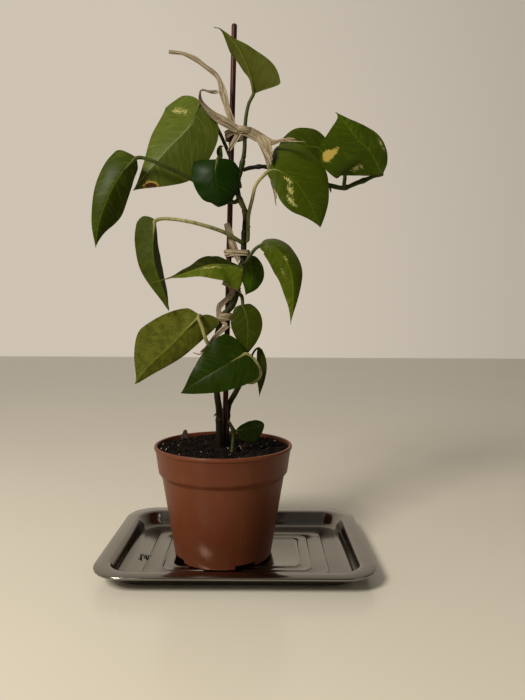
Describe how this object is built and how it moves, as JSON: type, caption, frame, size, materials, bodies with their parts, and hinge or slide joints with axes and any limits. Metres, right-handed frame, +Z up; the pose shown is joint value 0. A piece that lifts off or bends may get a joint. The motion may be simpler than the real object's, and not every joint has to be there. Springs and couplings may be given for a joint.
{
  "type": "potted pothos plant",
  "caption": "Young trailing houseplant tied to a stake in a round nursery pot, standing on a shallow rectangular steel drip tray.",
  "frame": {"origin": "on the axis of the pot, at the flat underside of the tray", "axes": "+Z up along the stake, +X along the tray's long side to the right as seen from the front, +Y to the back"},
  "size_m": [0.2433, 0.166, 0.457],
  "materials": {
    "steel": "satin stainless sheet with faint rolling marks",
    "pot_plastic": "satin terracotta-brown moulded plastic",
    "potting_soil": "dark crumbly potting soil with white grains",
    "bark": "rough dark bark",
    "stake_wood": "stained reddish-brown, satin",
    "stem": "smooth green stem with darker nodes",
    "leaf": "waxy green leaf with cream flecks",
    "raffia": "dry straw-coloured fibre, matt"
  },
  "bodies": {
    "root": {"tray": "steel", "pot": "pot_plastic", "soil": "potting_soil", "bark_chip": "bark", "stake": "stake_wood", "main_vine": "stem", "second_vine": "stem", "right_vine": "stem", "sprout_stem": "stem", "leaf_top": "leaf", "leaf_upper_left": "leaf", "leaf_far_left": "leaf", "leaf_centre": "leaf", "leaf_left": "leaf", "leaf_middle_left": "leaf", "leaf_middle_right": "leaf", "leaf_middle_back": "leaf", "leaf_low_left": "leaf", "leaf_low_front": "leaf", "leaf_low_right": "leaf", "leaf_low_small": "leaf", "leaf_sprout": "leaf", "leaf_right": "leaf", "leaf_right_back": "leaf", "leaf_far_right": "leaf", "young_leaf": "leaf", "raffia_upper": "raffia", "raffia_middle": "raffia", "raffia_lower": "raffia"}
  },
  "joints": []
}
